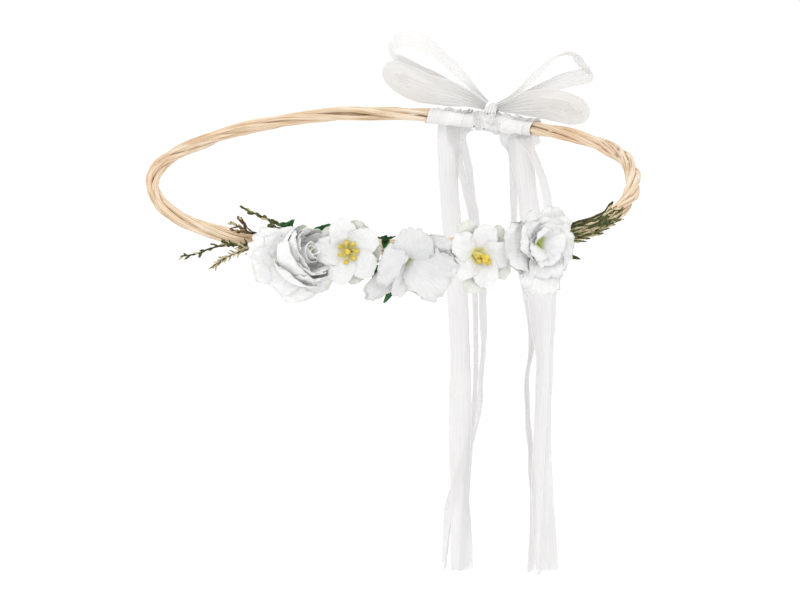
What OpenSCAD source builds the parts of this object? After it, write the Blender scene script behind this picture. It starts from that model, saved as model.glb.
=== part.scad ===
// Flower crown: four canes twisted into a hoop, a ribbon bow that ties the hoop's two
// ends together, and five paper flowers with leaves and dried sprigs along the front.
// Origin: centre of the head opening, in the plane of the hoop. +Z is up, the bow is
// towards +Y and the flowers are towards -Y. Angles go round the hoop from +X.

/* [Hoop] */
// Radius of the hoop's centreline
hoop_r = 90; // [88:0.5:92]
// Diameter of one cane
cane_d = 2.3; // [1.8:0.1:2.3]
// Full twists that the canes make round the hoop
cane_twists = 5; // [3:1:7]
// Height of the slow waves in the hoop's radius
wave_r = 1.5; // [0:0.1:1.5]
// Height of the slow waves out of the hoop's plane
wave_z = 0.9; // [0:0.1:0.9]

/* [Ribbon] */
// Width of the ribbon
ribbon_w = 10; // [8:0.5:10]
// Width that a tail keeps when it has curled in on itself
curled_w = 6; // [5:0.5:6]
// Thickness that a ribbon is given as a solid
ribbon_t = 0.4; // [0.3:0.05:0.4]
// Height of the tails' cut ends, below the hoop's plane
tail_end = 200; // [150:1:220]

/* [Flowers] */
// Thickness that a petal is given as a solid
petal_t = 0.5; // [0.4:0.05:0.5]
// Diameter of the paper-covered wire of the stems
stem_d = 0.8; // [0.7:0.05:0.8]
// Turns that a flower's stem makes round the hoop
stem_turns = 2; // [1:1:2]
// Length of the taped base under a flower
base_l = 4.5; // [4:0.1:4.5]

/* [Hidden] */

$fn = 72;
gap = 0.1;

// The hoop: radius of the circle on which the four canes' centres lie, and of the
// whole bundle. The canes' ends meet under the knot.
cane_offset = cane_d * 0.74;
bundle_r = cane_offset + cane_d / 2;
knot_at = 64;
end_gap = 1.2;
cane_rings = 76;
cane_sides = 8;
wave_count = 4;
wave_r_phase = 157;
wave_z_phase = 40;

// The ribbon wound on the hoop, each stretch given by its two angles
binding_t = 0.4;
binding_rings = 9;
binding_sides = 16;
left_binding_span = [69, 83];
right_binding_span = [51.5, 59];
knot_span = [59.3, 68.7];
knot_t = 0.8;
knot_swell = 0.5;
knot_turns = 3;

// The bow stands on top of the knot and is turned a little from the X axis
bow_knot_r = 2.2;
bow_up = bundle_r + gap + knot_t + knot_swell + bow_knot_r + gap;
bow_turn = -15;
loop_steps = 26;
loop_start = 0.024;
neck_share = 0.22;

// The tails start just under the hoop
tail_parts = 3;

// Where each flower sits: [angle round the hoop, distance out, height, tilt up, turn]
rose_seat = [-110.6, 10, -2.4, 14, 20.6];
rose_cup_seat = [-111, 14.6, -2.9, 30, 69];
left_blossom_seat = [-98.7, 10, 1.8, 14, 2];
lily_seat = [-87.2, 10, -1.4, 10, 4];
right_blossom_seat = [-74, 10, -0.6, 12, 0];
peony_seat = [-61.2, 10, 0.6, 12, 4];

// The stem is wound over the sprigs' stalks, which lie against the canes
stalk_d = 0.5;
stalk_out = bundle_r + gap + stalk_d / 2;
winding_r = bundle_r + 2 * gap + stalk_d + stem_d / 2;
winding_pitch = 1.1;
winding_steps = 14;
eye_d = stem_d + 2 * gap;

paper = "WhiteSmoke";
satin = "GhostWhite";
cane = "BurlyWood";
leaf_green = "DarkGreen";
dry_brown = "SaddleBrown";
dry_green = "DarkOliveGreen";
dry_grey = "DarkSeaGreen";
pollen = "Khaki";

// ---- Places round the hoop ----

function unit(v) = v / norm(v);

function radial(a) = [cos(a), sin(a), 0];

function along(a) = [-sin(a), cos(a), 0];

function hoop_point(a) =
    (hoop_r + wave_r * cos(wave_count * a - wave_r_phase)) * radial(a)
    + [0, 0, wave_z * cos(wave_count * a - wave_z_phase)];

// A point at distance out from the hoop's centreline and at height up from it
function hoop_place(a, out, up) = hoop_point(a) + out * radial(a) + [0, 0, up];

// A point on a circle round the hoop's centreline: 0 is outwards, 90 is up
function round_hoop(a, r, turn) = hoop_place(a, r * cos(turn), r * sin(turn));

// The way a flower or a leaf faces: outwards, tilted up, then turned sideways
function facing(seat) =
    let (a = seat[0] + seat[4])
    cos(seat[3]) * radial(a) + [0, 0, sin(seat[3])];

module at_seat(seat) {
    translate(hoop_place(seat[0], seat[1], seat[2]))
        rotate([0, 0, seat[0] + seat[4]])
            rotate([0, 90 - seat[3], 0])
                rotate([0, 0, 90])
                    children();
}

// ---- Swept shapes ----

// Two triangles between neighbouring rings for each side, all facing outwards
function wall(rings, sides, first, flip) = [
    for (r = [0 : rings - 2], s = [0 : sides - 1])
        let (
            a = first + r * sides + s,
            b = first + r * sides + (s + 1) % sides,
            c = a + sides,
            d = b + sides
        )
        each (flip ? [[a, d, c], [a, b, d]] : [[a, c, d], [a, d, b]])
];

// A closed solid over a row of rings
module skin(rings) {
    sides = len(rings[0]);
    last = (len(rings) - 1) * sides;
    polyhedron(
        points = [for (r = rings) each r],
        faces = concat(
            wall(len(rings), sides, 0, false),
            [[for (s = [0 : sides - 1]) s]],
            [[for (s = [sides - 1 : -1 : 0]) last + s]]
        )
    );
}

// A tube wall between an outer and an inner row of rings
module sleeve(outer, inner) {
    sides = len(outer[0]);
    n = len(outer);
    first_in = n * sides;
    last = (n - 1) * sides;
    polyhedron(
        points = [for (r = concat(outer, inner)) each r],
        faces = concat(
            wall(n, sides, 0, false),
            wall(n, sides, first_in, true),
            [
                for (s = [0 : sides - 1])
                    let (t = (s + 1) % sides)
                    each [[s, t, first_in + t], [s, first_in + t, first_in + s]]
            ],
            [
                for (s = [0 : sides - 1])
                    let (t = (s + 1) % sides)
                    each [
                        [last + s, first_in + last + t, last + t],
                        [last + s, first_in + last + s, first_in + last + t]
                    ]
            ]
        )
    );
}

// A ring of corners about a centre, in the plane of two unit vectors
function ring(centre, side, top, r, sides) = [
    for (s = [0 : sides - 1])
        centre + r * (cos(360 * s / sides) * side + sin(360 * s / sides) * top)
];

function tangent(points, i) =
    unit(points[min(i + 1, len(points) - 1)] - points[max(i - 1, 0)]);

// A round rod along points, from diameter d0 to d1; level is a direction that the
// path never runs along
module rod(points, level, d0, d1, sides) {
    skin([
        for (i = [0 : len(points) - 1])
            let (
                t = tangent(points, i),
                side = unit(level - (level * t) * t),
                d = d0 + (d1 - d0) * i / (len(points) - 1)
            )
            ring(points[i], side, cross(t, side), d / 2, sides)
    ]);
}

// A flat strip: rows of [centre, width direction, thickness direction, width]
module strip(rows) {
    skin([
        for (row = rows)
            let (
                w = row[3] / 2 * row[1],
                h = ribbon_t / 2 * row[2]
            )
            [row[0] - w - h, row[0] + w - h, row[0] + w + h, row[0] - w + h]
    ]);
}

// A smooth curve through hand-set points: each step is split into parts
function curve(p, parts) = [
    for (i = [0 : len(p) - 2], k = [0 : parts - (i == len(p) - 2 ? 0 : 1)])
        let (
            t = k / parts,
            before = p[max(i - 1, 0)],
            after = p[min(i + 2, len(p) - 1)]
        )
        0.5 * (2 * p[i] + t * (p[i + 1] - before)
            + t * t * (2 * before - 5 * p[i] + 4 * p[i + 1] - after)
            + t * t * t * (3 * p[i] - before - 3 * p[i + 1] + after))
];

// ---- Hoop ----

// One of the four canes that twist round each other
module twisted_cane(number) {
    from = knot_at + end_gap;
    step = (360 - 2 * end_gap) / (cane_rings - 1);
    points = [
        for (i = [0 : cane_rings - 1])
            let (a = from + i * step)
            round_hoop(a, cane_offset, 90 * number - cane_twists * a)
    ];
    color(cane)
        rod(points, [0, 0, 1], cane_d, cane_d, cane_sides);
}

// Ribbon wound on the hoop between two angles, swelling where the turns overlap
module wound_ribbon(span, thickness, swell, turns) {
    inner_r = bundle_r + gap;
    angles = [
        for (i = [0 : binding_rings - 1])
            span[0] + (span[1] - span[0]) * i / (binding_rings - 1)
    ];
    outer = [
        for (i = [0 : binding_rings - 1])
            let (
                share = i / (binding_rings - 1),
                r = inner_r + thickness + swell * pow(sin(180 * turns * share), 2)
            )
            ring(hoop_point(angles[i]), radial(angles[i]), [0, 0, -1], r, binding_sides)
    ];
    inner = [
        for (a = angles)
            ring(hoop_point(a), radial(a), [0, 0, -1], inner_r, binding_sides)
    ];
    color(satin)
        sleeve(outer, inner);
}

// ---- Bow ----

module at_bow() {
    translate(hoop_place(knot_at, 0, bow_up))
        rotate([0, 0, bow_turn])
            children();
}

module bow_knot() {
    color(satin)
        at_bow()
            sphere(bow_knot_r);
}

// A loop of ribbon that leaves the knot, opens out and comes back. It points along
// +X, or -X if left is set, raised by lift and rolled about its own length.
module bow_loop(left, length, opening, lift, roll, root) {
    rows = [
        for (i = [0 : loop_steps])
            let (
                share = loop_start + (1 - 2 * loop_start) * i / loop_steps,
                t = 180 * share,
                run = [length * cos(t), 0, opening * cos(2 * t)],
                across = unit([-run[2], 0, run[0]]),
                place = [length * sin(t), 0, opening / 2 * sin(2 * t)],
                w = ribbon_w * min(1, neck_share + 1.5 * sin(t))
            )
            [place, [0, 1, 0], across, w]
    ];
    color(satin)
        at_bow()
            translate(root)
                mirror([left ? 1 : 0, 0, 0])
                    rotate([0, -lift, 0])
                        rotate([roll, 0, 0])
                            strip(rows);
}

// ---- Tails ----

// A ribbon that hangs from the hoop through hand-set places. Each is [x, y, z, turn] for
// tails 200 mm long, and turn is how far its face is turned about the vertical.
module tail(places, w) {
    line = curve([for (p = places) [p[0], p[1], p[2] * tail_end / 200, p[3]]], tail_parts);
    points = [for (p = line) [p[0], p[1], p[2]]];
    color(satin)
        strip([
            for (i = [0 : len(line) - 1])
                let (
                    across = [cos(line[i][3]), sin(line[i][3]), 0],
                    t = tangent(points, i)
                )
                [points[i], across, unit(cross(t, across)), w]
        ]);
}

// ---- Flowers ----

// Petals cut from one sheet of paper and pressed into a bowl, with an eye for the
// stem. Each petal is [angle, reach]. base is the height of the bowl's bottom.
module whorl(petals, petal_w, bowl_r, base, pointed = false) {
    color(paper)
        intersection() {
            translate([0, 0, base + bowl_r])
                difference() {
                    sphere(bowl_r);
                    sphere(bowl_r - petal_t);
                }
            linear_extrude(bowl_r)
                difference() {
                    union() {
                        circle(petal_w / 3);
                        for (p = petals)
                            rotate(p[0])
                                petal_outline(p[1], petal_w, pointed);
                    }
                    circle(d = eye_d);
                }
        }
}

// A petal's outline along +X: round, or pointed where two arcs cross
module petal_outline(reach, w, pointed) {
    if (pointed) {
        arc_r = (reach * reach / 4 + w * w / 4) / w;
        translate([reach / 2, 0])
            intersection() {
                translate([0, arc_r - w / 2])
                    circle(arc_r);
                translate([0, w / 2 - arc_r])
                    circle(arc_r);
            }
    } else {
        translate([reach - w / 2, 0])
            circle(w / 2);
        translate([0, -w / 4])
            square([reach - w / 2, w / 2]);
    }
}

// Equal petals all the way round
function even_petals(count, reach, start) = [
    for (i = [0 : count - 1])
        [start + i * 360 / count, reach]
];

// The taped base that holds the petals on the wire
module flower_base() {
    color(leaf_green)
        translate([0, 0, -base_l - gap])
            difference() {
                cylinder(h = base_l, r1 = 1, r2 = 2.4);
                translate([0, 0, -1])
                    cylinder(h = base_l + 2, d = eye_d);
            }
}

// The wire from the flower's eye back to the hoop and round it
module flower_stem(seat, tip) {
    origin = hoop_place(seat[0], seat[1], seat[2]);
    face = facing(seat);
    heel = origin - (base_l + 4 * gap) * face;
    from_centre = heel - hoop_point(seat[0]);
    start = atan2(from_centre[2], from_centre * radial(seat[0]));
    straight = [origin + tip * face, origin, origin - 0.5 * base_l * face, heel];
    lead_in = 30;
    steps = stem_turns * winding_steps;
    winding = [
        for (i = [0 : steps])
            let (
                turn = start + lead_in + 360 * i / winding_steps,
                shift = winding_pitch * (i + 2) / winding_steps
            )
            hoop_point(seat[0]) + shift * along(seat[0])
                + winding_r * (cos(turn) * radial(seat[0]) + [0, 0, sin(turn)])
    ];
    color(leaf_green)
        rod(concat(straight, winding), along(seat[0]), stem_d, stem_d, 6);
}

// A bunch of stamens: short threads that lean outwards, each with a round tip
module stamens(count, spread, length, lean) {
    thread_d = 0.5;
    tip_d = 1.5;
    color(pollen)
        rotate([0, lean, 0]) {
            cylinder(h = length, d = 1.2);
            translate([0, 0, length])
                sphere(d = tip_d);
            for (i = [0 : count - 1])
                rotate([0, 0, i * 360 / count])
                    rotate([0, spread, 0]) {
                        cylinder(h = length, d = thread_d);
                        translate([0, 0, length])
                            sphere(d = tip_d);
                    }
        }
}

// ---- Greens ----

// A leaf along +Y in its own frame, pressed into a shallow curve
module leaf(length, w) {
    leaf_t = 0.35;
    bend_r = 22;
    color(leaf_green)
        intersection() {
            translate([0, length / 2, bend_r])
                difference() {
                    sphere(bend_r);
                    sphere(bend_r - leaf_t);
                }
            linear_extrude(bend_r / 2)
                rotate(90)
                    petal_outline(length, w, true);
        }
}

// A dried sprig. Its stalk lies on the canes from one angle to another, at side turn
// of the hoop, under a flower's winding. Then it goes through places, which are
// [angle, distance out, height]. Beyond the share bare of its length it swells into a
// row of buds.
module sprig(root, turn, places, tone, bare, buds, bud_d) {
    held = [for (a = [root[0], (root[0] + root[1]) / 2, root[1]]) round_hoop(a, stalk_out, turn)];
    free = [for (p = places) hoop_place(p[0], p[1], p[2])];
    path = curve(concat(held, free), 5);
    last = len(path) - 1;
    color(tone)
        skin([
            for (i = [0 : last])
                let (
                    share = max(0, (i / last - bare) / (1 - bare)),
                    swell = pow(sin(180 * buds * share), 2) * (1 - 0.4 * share),
                    t = tangent(path, i),
                    side = unit([0, 0, 1] - t[2] * t)
                )
                ring(path[i], side, cross(t, side), (stalk_d + (bud_d - stalk_d) * swell) / 2, 6)
        ]);
}

// ---- Sub-parts ----

module cane_1() { twisted_cane(0); }
module cane_2() { twisted_cane(1); }
module cane_3() { twisted_cane(2); }
module cane_4() { twisted_cane(3); }

module left_binding() { wound_ribbon(left_binding_span, binding_t, 0, 1); }
module right_binding() { wound_ribbon(right_binding_span, binding_t, 0, 1); }
module knot_wrap() { wound_ribbon(knot_span, knot_t, knot_swell, knot_turns); }

module upper_left_loop() { bow_loop(true, 44, 13, 34, 25, [-2.4, 0.6, 1.6]); }
module lower_left_loop() { bow_loop(true, 38.5, 11, 14, 88, [-2.6, -0.6, -1.4]); }
module upper_right_loop() { bow_loop(false, 36, 12, 40, 25, [2.4, 0.6, 1.6]); }
module lower_right_loop() { bow_loop(false, 33, 11, 8, 88, [2.6, -0.6, -0.4]); }

module left_wide_tail() {
    tail([
        [22.3, 87.2, -7, 4], [22.2, 86.8, -26, 20], [23.4, 86.4, -42, 32], [26.2, 86.7, -76, 30],
        [27.5, 86.8, -104, 28], [27.7, 87, -136, 8], [27.9, 87, -163, 30], [29.1, 87, -200, 8]
    ], ribbon_w);
}

module left_inner_tail() {
    tail([
        [26.8, 91.2, -7, 56], [28.4, 92.6, -22, 66], [32.1, 93.2, -47, 76], [33, 93.3, -80, 84],
        [33.5, 93.4, -106, 86], [32.9, 93.4, -128, 86], [31.4, 94, -150, 80],
        [29.8, 94.2, -202.4, 70]
    ], curled_w);
}

module left_outer_tail() {
    tail([
        [28.2, 97.6, -7, 60], [30.4, 100, -26, 72], [35.4, 102.6, -61, 78],
        [37.2, 103.2, -100, 78], [35, 103.6, -136, 96], [28.2, 103.9, -163, 104],
        [21.4, 104, -203.6, 100]
    ], curled_w);
}

module right_wide_tail() {
    tail([
        [50, 78.2, -7, -18], [52.4, 78.8, -21, -24], [54.6, 78.8, -35, -26], [59.6, 79.4, -74, -8],
        [61.6, 80, -98, 30], [61.9, 80.7, -144, 26], [65.2, 81.5, -197.5, -12]
    ], ribbon_w);
}

module right_inner_tail() {
    tail([
        [45.4, 84.4, -7, 62], [47, 85.6, -24, 76], [52.6, 86.2, -56, 70], [57.2, 86.6, -78, 62],
        [56.8, 86.9, -95, 76], [54.6, 87.2, -112, 88], [56.8, 87.6, -148, 82],
        [58.6, 88, -200, 74]
    ], curled_w);
}

module right_outer_tail() {
    tail([
        [55.4, 72.6, -7, 60], [60.6, 71.4, -28, 70], [64.2, 69.8, -64, 80], [63.4, 69.6, -98, 84],
        [62.4, 69.6, -135, 84], [61, 69.8, -196.6, 76]
    ], curled_w);
}

module rose_outer_petals() {
    petals = [[148, 14.4], [103, 12], [-25, 15], [-68, 13.4], [-126, 11], [188, 12.4], [55, 10]];
    at_seat(rose_seat) whorl(petals, 12, 60, 0);
}

// The cup of the half-closed rose opens up and to the right
module rose_middle_petals() { at_seat(rose_cup_seat) whorl(even_petals(4, 8.1, 0), 10, 8.5, 1); }
module rose_inner_petals() { at_seat(rose_cup_seat) whorl(even_petals(4, 5.9, 45), 7.4, 7, 3.4); }
module rose_base() { at_seat(rose_seat) flower_base(); }
module rose_stem() { flower_stem(rose_seat, 1.2); }

// The rose's rolled-up heart
module rose_core() {
    heart_r = 3.2;
    color(paper)
        at_seat(rose_cup_seat)
            translate([0, 0, 9])
                sphere(heart_r);
}

module left_blossom_petals() {
    at_seat(left_blossom_seat) whorl(even_petals(5, 10.8, 34), 12, 15, 0.9);
}

module left_blossom_back_petals() {
    at_seat(left_blossom_seat) whorl(even_petals(5, 9.5, -2), 8, 18, 0);
}

module left_blossom_stamens() {
    at_seat(left_blossom_seat) translate([0, 0, 2]) stamens(7, 50, 3.9, 0);
}

module left_blossom_base() { at_seat(left_blossom_seat) flower_base(); }
module left_blossom_stem() { flower_stem(left_blossom_seat, 1.5); }

module lily_outer_petals() {
    at_seat(lily_seat) whorl([[12, 14.6], [-38, 17], [-140, 17.5]], 10, 22, 0, true);
}

module lily_inner_petals() {
    at_seat(lily_seat) whorl([[76, 13], [-112, 12.4], [-150, 11.5]], 9, 19, 0.9, true);
}

module lily_base() { at_seat(lily_seat) flower_base(); }
module lily_stem() { flower_stem(lily_seat, 1.5); }

module right_blossom_petals() {
    at_seat(right_blossom_seat) whorl(even_petals(5, 10.2, -4), 12, 15, 0.9);
}

module right_blossom_back_petals() {
    at_seat(right_blossom_seat) whorl(even_petals(5, 9, 32), 8, 18, 0);
}

module right_blossom_stamens() {
    at_seat(right_blossom_seat) translate([-1.1, 1, 2]) rotate(-46) stamens(9, 22, 6.2, 46);
}

module right_blossom_base() { at_seat(right_blossom_seat) flower_base(); }
module right_blossom_stem() { flower_stem(right_blossom_seat, 1.5); }

module peony_outer_petals() {
    petals = [[52, 13.6], [-12, 12], [-58, 13], [-106, 15.4], [170, 12.4], [121, 15], [-148, 12]];
    at_seat(peony_seat) whorl(petals, 11, 18, 0);
}

module peony_middle_petals() { at_seat(peony_seat) whorl(even_petals(6, 10.4, 30), 10, 13, 1); }
module peony_inner_petals() { at_seat(peony_seat) whorl(even_petals(5, 7.6, 0), 8, 10, 2); }
module peony_base() { at_seat(peony_seat) flower_base(); }
module peony_stem() { flower_stem(peony_seat, 2.4); }

module upper_left_sprig() {
    free = [[-106.2, 4.6, 3.4], [-109.3, 6.2, 6], [-114.4, 6.8, 9.6], [-121.7, 6.4, 13.4]];
    sprig([-96, -101], 62, free, dry_green, 0.55, 4, 2.2);
}

module lower_left_sprig() {
    free = [[-122, 6, 0.2], [-128.9, 8.6, -2.4], [-132, 9.6, -5.4], [-136, 11, -7.6]];
    sprig([-107, -114.5], 0, free, dry_green, 0.5, 4, 2.2);
}

module grey_sprig() {
    free = [[-120.5, 8, -3], [-124, 8.8, -6], [-128, 9.6, -10.2]];
    sprig([-107, -114.5], -35, free, dry_grey, 0.5, 3, 2.4);
}

module brown_sprig() {
    free = [[-119.5, 4.6, 5], [-122, 4.8, 7], [-124.2, 5.2, 9]];
    sprig([-107, -114], 50, free, dry_brown, 0.55, 3, 2.2);
}

// Two stalks side by side
module right_sprig() {
    low = [[-51, 6.4, -0.6], [-44, 6.9, 0.2], [-37, 6.2, 1.2]];
    high = [[-51, 5.4, 3.4], [-44, 6.2, 4.2], [-37, 5.8, 5]];
    sprig([-64.5, -57], 14, low, dry_green, 0.5, 5, 3);
    sprig([-64.5, -57], 24, high, dry_green, 0.5, 5, 3);
}

module right_twig() {
    free = [[-51.6, 6.8, 6.8], [-46, 7.4, 7.4], [-42.4, 7.4, 8.2], [-39.2, 7.4, 9.8]];
    sprig([-64.5, -57], 75, free, dry_brown, 0.7, 2, 1.6);
}

module left_leaf() { at_seat([-106.4, 6.4, 3.4, 30, 10]) rotate(-60) leaf(7.5, 4.5); }
module middle_bud() { at_seat([-91.5, 7, 4.5, 60, 0]) leaf(5, 2.4); }
module middle_leaf() { at_seat([-93.8, 6.5, -4, 10, 0]) rotate(180) leaf(6, 4); }
module bottom_leaf() { at_seat([-88.2, 5.5, -7, 0, 0]) rotate(150) leaf(13, 4); }
module right_leaf() { at_seat([-52.5, 5.5, -6, 20, 0]) rotate(-130) leaf(9, 3); }

cane_1();
cane_2();
cane_3();
cane_4();

left_binding();
right_binding();
knot_wrap();
bow_knot();

upper_left_loop();
lower_left_loop();
upper_right_loop();
lower_right_loop();

left_wide_tail();
left_inner_tail();
left_outer_tail();
right_wide_tail();
right_inner_tail();
right_outer_tail();

rose_outer_petals();
rose_middle_petals();
rose_inner_petals();
rose_core();
rose_base();
rose_stem();

left_blossom_petals();
left_blossom_back_petals();
left_blossom_stamens();
left_blossom_base();
left_blossom_stem();

lily_outer_petals();
lily_inner_petals();
lily_base();
lily_stem();

right_blossom_petals();
right_blossom_back_petals();
right_blossom_stamens();
right_blossom_base();
right_blossom_stem();

peony_outer_petals();
peony_middle_petals();
peony_inner_petals();
peony_base();
peony_stem();

upper_left_sprig();
lower_left_sprig();
grey_sprig();
brown_sprig();
right_sprig();
right_twig();

left_leaf();
middle_bud();
middle_leaf();
bottom_leaf();
right_leaf();
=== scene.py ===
"""A flower crown: four twisted canes, a sheer ribbon bow with six tails, and five paper flowers.

Lengths are in millimetres until a mesh is made, and angles in degrees. The row frame is the
CAD's: the origin is the centre of the head opening, +Z is up, the bow is towards +Y and the
flowers are towards -Y.
"""
import math
import random

import bpy
import numpy as np
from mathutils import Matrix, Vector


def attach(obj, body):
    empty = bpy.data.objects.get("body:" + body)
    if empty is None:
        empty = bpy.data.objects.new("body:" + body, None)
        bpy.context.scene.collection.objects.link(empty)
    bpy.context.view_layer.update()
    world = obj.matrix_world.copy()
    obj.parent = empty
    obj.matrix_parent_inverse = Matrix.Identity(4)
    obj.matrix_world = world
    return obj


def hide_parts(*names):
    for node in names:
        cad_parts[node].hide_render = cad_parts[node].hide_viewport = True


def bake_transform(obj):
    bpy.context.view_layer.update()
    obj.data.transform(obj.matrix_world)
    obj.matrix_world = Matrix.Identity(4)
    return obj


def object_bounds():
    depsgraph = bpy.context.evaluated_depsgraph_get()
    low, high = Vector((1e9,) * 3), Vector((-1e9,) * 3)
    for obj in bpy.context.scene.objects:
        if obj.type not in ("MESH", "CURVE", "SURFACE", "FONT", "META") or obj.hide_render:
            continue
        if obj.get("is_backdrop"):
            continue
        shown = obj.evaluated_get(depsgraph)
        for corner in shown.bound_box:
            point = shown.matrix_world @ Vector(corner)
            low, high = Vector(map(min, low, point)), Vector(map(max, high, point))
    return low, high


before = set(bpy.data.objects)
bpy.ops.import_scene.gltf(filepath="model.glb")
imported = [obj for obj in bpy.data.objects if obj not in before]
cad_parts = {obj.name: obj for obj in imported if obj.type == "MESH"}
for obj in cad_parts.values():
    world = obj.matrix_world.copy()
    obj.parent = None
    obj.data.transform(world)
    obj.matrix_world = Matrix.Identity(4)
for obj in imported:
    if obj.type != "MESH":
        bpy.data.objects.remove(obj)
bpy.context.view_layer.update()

MM = 0.001
ROOT = "root"

# ---- The hoop and its parts, as in the CAD ----
HOOP_R = 90.0
WAVE_R, WAVE_R_PHASE = 1.5, 157.0
WAVE_Z, WAVE_Z_PHASE = 0.9, 40.0
WAVES = 4
CANE_R = 1.15
CANE_OFFSET = 1.702
CANE_TWISTS = 5
KNOT_AT = 64.0
RIBBON_W = 10.0
RIBBON_T = 0.12
PETAL_T = 0.2
STEM_R = 0.4
BASE_L = 4.5
BOW_RISE = 6.552
# Distances from the hoop's centreline: of a stalk tied to the canes, of the foot of a
# leaf's stalk, of a flower's wire where it crosses the stalks, and of a tail
STALK_AT = 3.202
LEAF_AT = 3.3
WIRE_AT = 3.87
TAIL_AT = 3.75

# Where each flower sits: angle round the hoop, distance out, height, tilt up, turn
SEATS = {
    "rose": (-110.6, 10, -2.4, 14, 20.6),
    "left_blossom": (-98.7, 10, 1.8, 14, 2),
    "lily": (-87.2, 10, -1.4, 10, 4),
    "right_blossom": (-74, 10, -0.6, 12, 0),
    "peony": (-61.2, 10, 0.6, 12, 4),
}


# ---- Vectors and places ----

def sin(a):
    return np.sin(np.radians(a))


def cos(a):
    return np.cos(np.radians(a))


def unit(v):
    v = np.asarray(v, float)
    return v / np.maximum(np.linalg.norm(v, axis=-1, keepdims=True), 1e-9)


def radial(a):
    return np.array([cos(a), sin(a), 0.0])


def along(a):
    return np.array([-sin(a), cos(a), 0.0])


UP = np.array([0.0, 0.0, 1.0])


def hoop_point(a):
    r = HOOP_R + WAVE_R * cos(WAVES * a - WAVE_R_PHASE)
    return r * radial(a) + WAVE_Z * cos(WAVES * a - WAVE_Z_PHASE) * UP


def hoop_place(a, out, up):
    return hoop_point(a) + out * radial(a) + up * UP


def round_hoop(a, r, turn):
    """A point at distance r from the hoop's centreline: turn 0 is outwards and 90 is up."""
    return hoop_place(a, r * cos(turn), r * sin(turn))


class Seat:
    """A flower's or leaf's own frame: x to its right, y up and z the way it faces."""

    def __init__(self, angle, out, up, tilt, turn):
        a = angle + turn
        self.origin = hoop_place(angle, out, up)
        self.x = along(a)
        self.y = cos(tilt) * UP - sin(tilt) * radial(a)
        self.z = cos(tilt) * radial(a) + sin(tilt) * UP

    def moved(self, right, up, forward):
        """The same frame with its origin moved."""
        other = Seat.__new__(Seat)
        other.x, other.y, other.z = self.x, self.y, self.z
        other.origin = self.place((right, up, forward))
        return other

    def place(self, p):
        p = np.asarray(p, float)
        return self.origin + p[..., :1] * self.x + p[..., 1:2] * self.y + p[..., 2:] * self.z


# ---- Smooth noise and curves ----

class Ripple:
    """Smooth seeded noise: a sum of plane waves, about -1 to 1."""

    def __init__(self, seed, size):
        terms = 7
        rng = np.random.default_rng(seed)
        self.k = rng.normal(size=(terms, 3)) * 2 * math.pi / size / 1.7
        self.phase = rng.uniform(0, 2 * math.pi, terms)
        self.scale = 1.2 / math.sqrt(terms)

    def __call__(self, p):
        waves = np.asarray(p, float) @ self.k.T + self.phase
        return np.sin(waves).sum(-1) * self.scale


def spline(points, count):
    """count rows on a smooth curve through the given rows, which may have any columns."""
    p = np.asarray(points, float)
    padded = np.vstack([2 * p[0] - p[1], p, 2 * p[-1] - p[-2]])
    t = np.linspace(0, len(p) - 1, count)
    i = np.minimum(t.astype(int), len(p) - 2)
    f = (t - i)[:, None]
    a, b, c, d = (padded[i + k] for k in range(4))
    return 0.5 * (2 * b + f * (c - a) + f ** 2 * (2 * a - 5 * b + 4 * c - d)
                  + f ** 3 * (3 * b - a - 3 * c + d))


def tangents(path):
    return unit(np.gradient(path, axis=0))


def carried(path, start=UP):
    """Unit vectors square to the path, carried along it without twisting."""
    t = tangents(path)
    side = unit(start - (start @ t[0]) * t[0])
    out = [side]
    for i in range(1, len(path)):
        side = unit(out[-1] - (out[-1] @ t[i]) * t[i])
        out.append(side)
    return np.array(out)


def lengths(path):
    steps = np.linalg.norm(np.diff(path, axis=0), axis=1)
    return np.concatenate([[0], np.cumsum(steps)])


# ---- Meshes ----

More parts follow.
